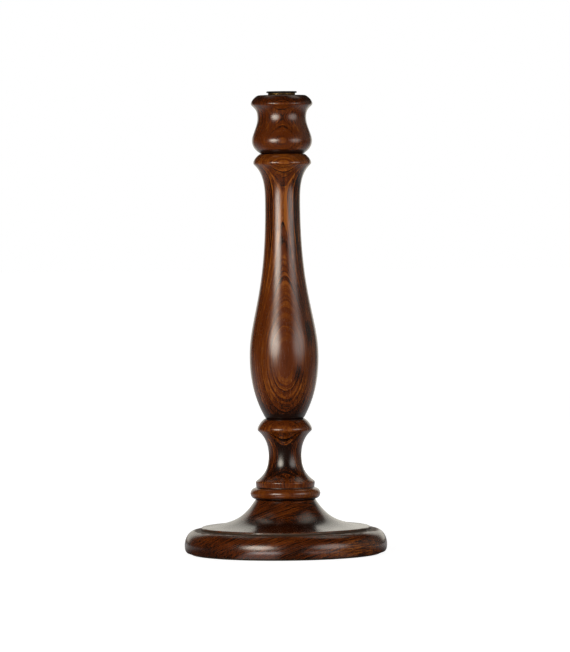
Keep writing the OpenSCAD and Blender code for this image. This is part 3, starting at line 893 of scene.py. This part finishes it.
def add_floor():
    """A wide pale floor that looks white, keeps the lamp's shadow and is clear from below. The lacquer
    mirrors it as lit like a sweep of paper behind the lamp, with two pools of light in front, under the soft
    boxes, that only the foot is near enough to mirror. It also lights the felt evenly."""
    floor, tree = stage_sheet("floor", "pale_floor", [
        (x * FLOOR_REACH, y * FLOOR_REACH, -FLOOR_DROP) for x, y in ((-1, -1), (1, -1), (1, 1), (-1, 1))])
    camera, mirror = seen_by_camera_or_mirror(tree)
    unseen = blend_colours(mirror, (0.70, 0.69, 0.66), (0.14, 0.14, 0.14))
    paper = output(tree, "ShaderNodeBsdfDiffuse", {
        "Color": blend_colours(camera, unseen, (0.30, 0.30, 0.30))})
    place = output(tree, "ShaderNodeTexCoord", result="Object")
    off, heading = length(place), vector_calc("NORMALIZE", place)
    sweep = ramp(axes_of(heading)[1], -0.3, 0.8, 0, 0.40) * ramp(off, 0.9, 2.5, 1, 0.4)
    close_by = ramp(output(tree, "ShaderNodeLightPath", result="Ray Length"), 0.10, 0.16, 1, 0)
    for bearing, breadth, strength in ((-17, 0.965, 7.0), (30, 0.95, 1.6)):
        angle = math.radians(bearing)
        pool = ramp(off, 0.10, 0.165, 0.1 * strength, strength) * ramp(off, 0.20, 0.30, 1, 0) * close_by
        sweep = sweep + pool * patch_of_light(heading, (math.sin(angle), -math.cos(angle), 0), breadth)
    sweep = sweep * ramp(off, 0.086, 0.095)
    paleness = ramp(off, 0.15, 0.6, 0.93, 1.0)
    under_felt = ramp(off, 0.081, 0.086, 1, 0) * (1.0 - camera)
    seen = calc("MAXIMUM", camera * paleness, mirror * sweep) + under_felt * 0.25
    glow = output(tree, "ShaderNodeEmission", {"Color": (1, 1, 1, 1), "Strength": seen})
    both = output(tree, "ShaderNodeAddShader", {0: paper, 1: glow})
    below = output(tree, "ShaderNodeNewGeometry", result="Backfacing")
    clear = output(tree, "ShaderNodeBsdfTransparent")
    sheet = output(tree, "ShaderNodeMixShader", {0: below, 1: both, 2: clear})
    add_node(tree, "ShaderNodeOutputMaterial", {"Surface": sheet})


def set_surroundings(ambient):
    """White as the camera sees it, and a soft grey light on the lamp. The lacquer and the metal mirror a dark
    room with a strip of lit ceiling, a wall on the right and two small lights overhead."""
    world = bpy.data.worlds.new("studio")
    bpy.context.scene.world = world
    tree = empty_tree(world)
    heading = output(tree, "ShaderNodeTexCoord", result="Generated")
    side, ahead, height = axes_of(heading)
    near_middle = ramp(calc("ABSOLUTE", side) / calc("MAXIMUM", ahead, 0.01), 0.6, 1.1, 1, 0)
    ceiling = ramp(height, 0.70, 0.80, 0, 0.65) * ramp(height, 0.85, 0.90, 1, 0)
    wall = ramp(side, 0.5, 0.9, 0.01, 0.2) * ramp(height, 0.4, 0.6, 1, 0.05)
    mirrored = near_middle * ceiling + 0.02 + wall
    for centre, breadth, strength in (((-0.34, 0.16, 0.93), 0.985, 0.25), ((0.37, 0.31, 0.87), 0.972, 0.75)):
        mirrored = mirrored + patch_of_light(heading, centre, breadth, strength)
    camera, mirror = seen_by_camera_or_mirror(tree)
    lit = (1.0 - mirror) * ambient + mirror * mirrored
    sky = output(tree, "ShaderNodeBackground", {
        "Color": blend_colours(mirror, (1, 1, 1), (1.0, 0.96, 0.84)),
        "Strength": (1.0 - camera) * lit + camera})
    add_node(tree, "ShaderNodeOutputWorld", {"Surface": sky})


# Operators

class LAMP_OT_prepare(bpy.types.Operator):
    """Build the node groups and the geometry node trees that the pieces share"""
    bl_idname = "lamp.prepare"
    bl_label = "Prepare Node Groups"

    def execute(self, context):
        for build in (build_growth_group, build_stain_group, build_edges_group, build_tool_marks_group,
                      build_worn_metal_group, build_turning_tree, build_thread_tree):
            build()
        return {"FINISHED"}


class LAMP_OT_foot(bpy.types.Operator):
    """Turn the foot, with its grain lying across, and bore it for the flex"""
    bl_idname = "lamp.foot"
    bl_label = "Make Foot"

    def execute(self, context):
        piece = turned_piece("foot_turned", "foot", "foot_timber", timber_material(
            "foot_timber", context.scene.lamp_finish, fibres=(0.93, 0.0, 0.37), layers=(-0.36, 0.26, 0.90),
            offset=(0, 1, 0), seed=2.0, tone=-0.22, contrast=0.62, layer_width=2.4, pith_distance=3000,
            wander=1.0, waviness=0.25, streaks=0.4, layer_lines=0.3, grain=1.25, pores=0.1,
            # the first shade is painted shade on the step and the lower rise, which face up
            shades=[((0, 0, 28), (140, 140, 8), 0.48), ((62, -66, 6), (50, 50, 13), -0.30),
                    ((-70, -50, 6), (40, 50, 9), 0.22), ((8, -93, 5), (26, 26, 16), 0.12),
                    ((25, -25, 42), (26, 30, 15), 0.10)],
            dusty=[(22.4, 1.8, 80.5, 5.0)]), fineness=2)
        height, body, flange_start, flange = bush_sizes()
        drill(piece, IN_CHANNEL, OUTSIDE, body + BODY_ROOM, height)
        drill(piece, flange_start, OUTSIDE, flange + FLANGE_ROOM, height)
        smooth_faces(piece.data)
        piece.data.set_sharp_from_angle(angle=CRISP_EDGE)
        return {"FINISHED"}


class LAMP_OT_column(bpy.types.Operator):
    """Turn the pedestal, the baluster and the head, with their grain upright"""
    bl_idname = "lamp.column"
    bl_label = "Make Column"

    def execute(self, context):
        finish = context.scene.lamp_finish
        turned_piece("pedestal_turned", "pedestal", "pedestal_timber", timber_material(
            "pedestal_timber", finish, fibres=(0, 0, 1), layers=(0.05, 1, 0), offset=(0, 1.5, 0), seed=11.0,
            tone=0.10, contrast=0.3, layer_width=2.1, wander=1.2, waviness=0.6, streaks=0.5, layer_lines=1.0,
            grain=0.0, pores=0.1,
            shades=[((0, 0, 90), (90, 90, 28), 0.62), ((0, -16, 90), (11, 8, 17), 0.25),
                    # the last shade is painted shade on the top of the ring, by the joint under the baluster
                    ((0, 0, 75), (60, 60, 9), 0.20), ((0, 0, 122), (60, 60, 6), 0.22)],
            lively=[(68, 112, 1.1)]))
        turned_piece("baluster_turned", "baluster", "baluster_timber", timber_material(
            "baluster_timber", finish, fibres=(0.01, 0.0, 1.0), layers=(-0.04, 1, 0), offset=(0, 0, 0),
            seed=23.0, tone=0.0, contrast=0.45, layer_width=1.7, wander=2.6, waviness=1.0, streaks=0.9,
            layer_lines=0.8, grain=0.2, pores=0.25,
            shades=[((23, -21, 203), (5, 14, 15), 0.45), ((13, -28, 166), (6, 14, 11), 0.36),
                    ((16, -18, 245), (7, 14, 50), 0.26), ((11, -12, 300), (7, 14, 52), 0.34),
                    ((-11, -12, 300), (5, 14, 45), 0.14), ((2.8, -17, 322), (1.3, 9, 44), -0.30),
                    ((1.5, -17, 284), (4, 9, 13), 0.22), ((1.2, -18, 272), (3, 8, 6), -0.26),
                    # the first shade on the next line is painted shade on the belly's low part, which faces
                    # down
                    ((0, 0, 126), (60, 60, 24), 0.44), ((0, 0, 364), (60, 60, 8), -0.16),
                    ((17, -12, 338), (7, 12, 24), 0.42), ((1, -20, 337), (4, 6, 9), 0.32),
                    ((0, 0, 322), (60, 60, 46), 0.12)],
            lively=[(235, 300, 0.25), (275, 366, 0.75), (122, 166, 0.28)]))
        turned_piece("head_turned", "head", "head_timber", timber_material(
            "head_timber", finish, fibres=(0, 0, 1), layers=(0, 1, 0), offset=(0, 1.4, 0), seed=37.0,
            tone=-0.04, contrast=0.6, layer_width=1.5, pith_distance=140, wander=2.0, waviness=0.8,
            streaks=1.1, layer_lines=0.7, grain=0.2, pores=0.2,
            shades=[((0, 0, 418), (60, 60, 9), 0.26), ((0, 0, 401), (60, 60, 12), 0.12)],
            lively=[(386, 414, 0.55)]))
        return {"FINISHED"}


class LAMP_OT_seat(bpy.types.Operator):
    """Make the brass collar and the blackened seat plate, with the thread in its hole"""
    bl_idname = "lamp.seat"
    bl_label = "Make Seat"

    def execute(self, context):
        finish = context.scene.lamp_finish
        turned_piece("brass_collar_turned", "brass_collar", "brass", metal_material(
            "aged_brass", finish.brass, finish.tarnish, specks=(0.02, 0.016, 0.012), roughness=(0.45, 0.6),
            patch=6.0, seed=4, metallic=(1.0, 0.8)), softness=0.1 * MM)
        plate = turned_piece("seat_plate_turned", "seat_plate", "blackened_steel", metal_material(
            "blackened_steel", finish.black_steel, (0.012, 0.011, 0.010), specks=(0.10, 0.07, 0.045),
            roughness=(0.34, 0.55), patch=5.0, seed=8, metallic=(0.55, 0.3)), softness=0.08 * MM,
            bore=THREAD_BORE)
        wind_thread(plate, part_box("threaded_tube")[1].z + THREAD_GAP)
        return {"FINISHED"}


class LAMP_OT_fixings(bpy.types.Operator):
    """Finish the tube, its ferrule, the washers and the nuts"""
    bl_idname = "lamp.fixings"
    bl_label = "Finish Fixings"

    def execute(self, context):
        zinc = metal_material("zinc_plate", context.scene.lamp_finish.zinc, (0.40, 0.40, 0.40),
                              specks=(0.75, 0.75, 0.73), roughness=(0.30, 0.46), patch=2.5, seed=3)
        for name in ("threaded_tube", "foot_washer", "foot_lock_washer", "foot_nut", "head_washer",
                     "head_nut"):
            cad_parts[name].material_slots[0].material = zinc
        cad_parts["tube_ferrule"].material_slots[0].material = nylon_material(
            "white_nylon", (0.72, 0.70, 0.64), 2.0)
        return {"FINISHED"}


class LAMP_OT_flex_bush(bpy.types.Operator):
    """Finish the bush that the flex comes in by"""
    bl_idname = "lamp.flex_bush"
    bl_label = "Finish Flex Bush"

    def execute(self, context):
        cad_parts["flex_bush"].material_slots[0].material = nylon_material(
            "black_nylon", (0.012, 0.012, 0.012), 6.0)
        return {"FINISHED"}


class LAMP_OT_felt(bpy.types.Operator):
    """Lay the felt under the foot"""
    bl_idname = "lamp.felt"
    bl_label = "Lay Felt"

    def execute(self, context):
        low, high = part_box("felt_pad")
        mesh = turned_mesh(felt_outline((high.x - low.x) / 2, low.z, high.z, FELT_EDGE), FELT_FINENESS,
                           felt_material("wool_felt", context.scene.lamp_finish.felt))
        bm = bmesh.new()
        bm.from_mesh(mesh)
        bmesh.ops.delete(bm, geom=[e for e in bm.edges if not e.link_faces], context="EDGES")
        bm.to_mesh(mesh)
        bm.free()
        new_piece("felt_disc", mesh, "felt", "felt_pad")
        return {"FINISHED"}


class LAMP_OT_stage(bpy.types.Operator):
    """Set the floor, the lights, the surroundings and the camera"""
    bl_idname = "lamp.stage"
    bl_label = "Set Stage"

    def execute(self, context):
        stage = context.scene.lamp_stage
        set_camera(stage)
        add_light("key", stage.key_power, bearing=-31.5, distance=1.15, height=0.40, width=1.0, tall=0.70,
                  colour=(1.0, 0.92, 0.80))
        add_light("fill", stage.fill_power, bearing=52, distance=1.15, height=0.38, width=1.25, tall=0.76,
                  colour=(1.0, 0.94, 0.88))
        add_light("front", stage.front_power, bearing=-12, distance=1.6, height=0.12, width=1.6, tall=0.5,
                  colour=(1.0, 0.96, 0.90), matt_only=True)
        add_light("back", stage.back_power, bearing=165, distance=1.6, height=0.45, width=1.6, tall=0.7,
                  matt_only=True)
        add_card(distance=0.70, half_width=0.66, low=0.03, high=0.57, strength=1.1)
        add_floor()
        set_surroundings(stage.ambient)
        context.scene.view_settings.view_transform = "Standard"
        return {"FINISHED"}


OPERATORS = (LAMP_OT_prepare, LAMP_OT_foot, LAMP_OT_column, LAMP_OT_seat, LAMP_OT_fixings, LAMP_OT_flex_bush,
             LAMP_OT_felt, LAMP_OT_stage)


class LAMP_PT_sidebar(bpy.types.Panel):
    """The lamp's settings and steps"""
    bl_idname = "LAMP_PT_sidebar"
    bl_label = "Turned Lamp Base"
    bl_space_type = "VIEW_3D"
    bl_region_type = "UI"
    bl_category = "Lamp"

    def draw(self, context):
        for group in SETTINGS:
            settings = getattr(context.scene, group)
            box = self.layout.box()
            for name in settings.__annotations__:
                box.prop(settings, name)
        for operator in OPERATORS:
            self.layout.operator(operator.bl_idname)


SETTINGS = {"lamp_turning": LampTurningSettings, "lamp_finish": LampFinishSettings,
            "lamp_stage": LampStageSettings}


def register():
    for group in SETTINGS.values():
        bpy.utils.register_class(group)
    for name, group in SETTINGS.items():
        setattr(bpy.types.Scene, name, PointerProperty(type=group))
    for made in (*OPERATORS, LAMP_PT_sidebar):
        bpy.utils.register_class(made)


def unregister():
    for made in reversed((*OPERATORS, LAMP_PT_sidebar)):
        bpy.utils.unregister_class(made)
    for name in SETTINGS:
        delattr(bpy.types.Scene, name)
    for group in reversed(list(SETTINGS.values())):
        bpy.utils.unregister_class(group)


def main():
    register()
    bpy.ops.lamp.prepare()
    bpy.ops.lamp.foot()
    bpy.ops.lamp.column()
    bpy.ops.lamp.seat()
    bpy.ops.lamp.fixings()
    bpy.ops.lamp.flex_bush()
    bpy.ops.lamp.felt()
    bpy.ops.lamp.stage()


if __name__ == "__main__":
    main()
